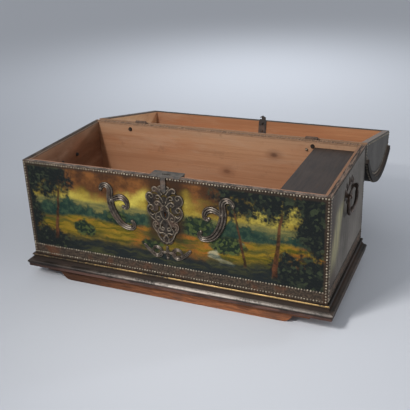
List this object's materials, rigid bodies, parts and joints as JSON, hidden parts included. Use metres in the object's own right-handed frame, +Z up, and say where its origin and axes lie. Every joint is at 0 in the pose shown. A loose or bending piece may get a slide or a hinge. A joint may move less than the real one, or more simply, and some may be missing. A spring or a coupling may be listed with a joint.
{
  "type": "domed coffer",
  "caption": "Leather-covered, nail-studded pine coffer with a coopered domed lid, lidded till, pierced lock plate, drop handles and a moulded plinth on runners.",
  "frame": {"origin": "on the floor under the middle of the chest, at the middle of the bearer's sole", "axes": "+X towards the chest's right-hand end, -Y out of the front, +Z up; at rest the lid is thrown open behind"},
  "size_m": [1.202, 1.0894, 0.4793],
  "materials": {
    "pine": "bare, aged orange-brown",
    "stained_pine": "dark stained, dull",
    "runner_wood": "raw, worn",
    "ebonised_moulding": "ebonised and polished, gilt bead",
    "painted_leather": "painted landscape, varnished",
    "dark_leather": "worn, satin",
    "iron": "forged, rubbed"
  },
  "bodies": {
    "chest": {"back_board": "pine", "back_leather": "dark_leather", "bottom_plank_front": "pine", "bottom_plank_rear": "pine", "front_board": "pine", "front_leather": "painted_leather", "front_runner": "runner_wood", "left_chest_strap": "iron", "left_end_board": "pine", "left_handle_eyes": "iron", "left_handle_plate": "iron", "left_hinge_pin": "iron", "left_leather": "dark_leather", "left_scroll_mount": "iron", "lock_case": "iron", "lock_key_pin": "iron", "lock_plate": "iron", "lock_rim_plate": "iron", "lock_spring": "iron", "lower_scroll_mount": "iron", "middle_bearer": "runner_wood", "plinth_front_moulding": "ebonised_moulding", "plinth_left_moulding": "ebonised_moulding", "plinth_right_moulding": "ebonised_moulding", "rear_runner": "runner_wood", "right_chest_strap": "iron", "right_end_board": "pine", "right_handle_eyes": "iron", "right_handle_plate": "iron", "right_hinge_pin": "iron", "right_leather": "dark_leather", "right_scroll_mount": "iron", "till_floor": "pine", "till_side": "pine"},
    "lid": {"left_lid_strap": "iron", "lid_back_leather": "dark_leather", "lid_back_rail": "pine", "lid_dome_leather": "dark_leather", "lid_front_leather": "dark_leather", "lid_front_rail": "pine", "lid_hasp": "iron", "lid_left_end": "pine", "lid_left_leather": "dark_leather", "lid_right_end": "pine", "lid_right_leather": "dark_leather", "lid_stave_1": "pine", "lid_stave_2": "pine", "lid_stave_3": "pine", "lid_stave_4": "pine", "lid_stave_5": "pine", "lid_stave_6": "pine", "lid_stave_7": "pine", "right_lid_strap": "iron"},
    "till_lid": {"till_lid": "stained_pine"},
    "lock_bolt": {"lock_bolt": "iron"},
    "left_bail": {"left_bail": "iron"},
    "right_bail": {"right_bail": "iron"}
  },
  "joints": [
    {"name": "lid_hinge", "type": "hinge", "parent": "chest", "child": "lid", "pos_m": [0, 0.2746, 0.4723], "axis": [1, 0, 0], "range_deg": [0, 192]},
    {"name": "till_lid_hinge", "type": "hinge", "parent": "chest", "child": "till_lid", "pos_m": [0.5447, 0, 0.4445], "axis": [0, -1, 0], "range_deg": [-90, 0]},
    {"name": "lock_bolt_slide", "type": "slide", "parent": "chest", "child": "lock_bolt", "axis": [1, 0, 0], "range_m": [0, 0.01]},
    {"name": "left_bail_hinge", "type": "hinge", "parent": "chest", "child": "left_bail", "pos_m": [-0.5895, 0, 0.394], "axis": [0, 1, 0], "range_deg": [0, 100]},
    {"name": "right_bail_hinge", "type": "hinge", "parent": "chest", "child": "right_bail", "pos_m": [0.5895, 0, 0.394], "axis": [0, -1, 0], "range_deg": [0, 100]}
  ]
}
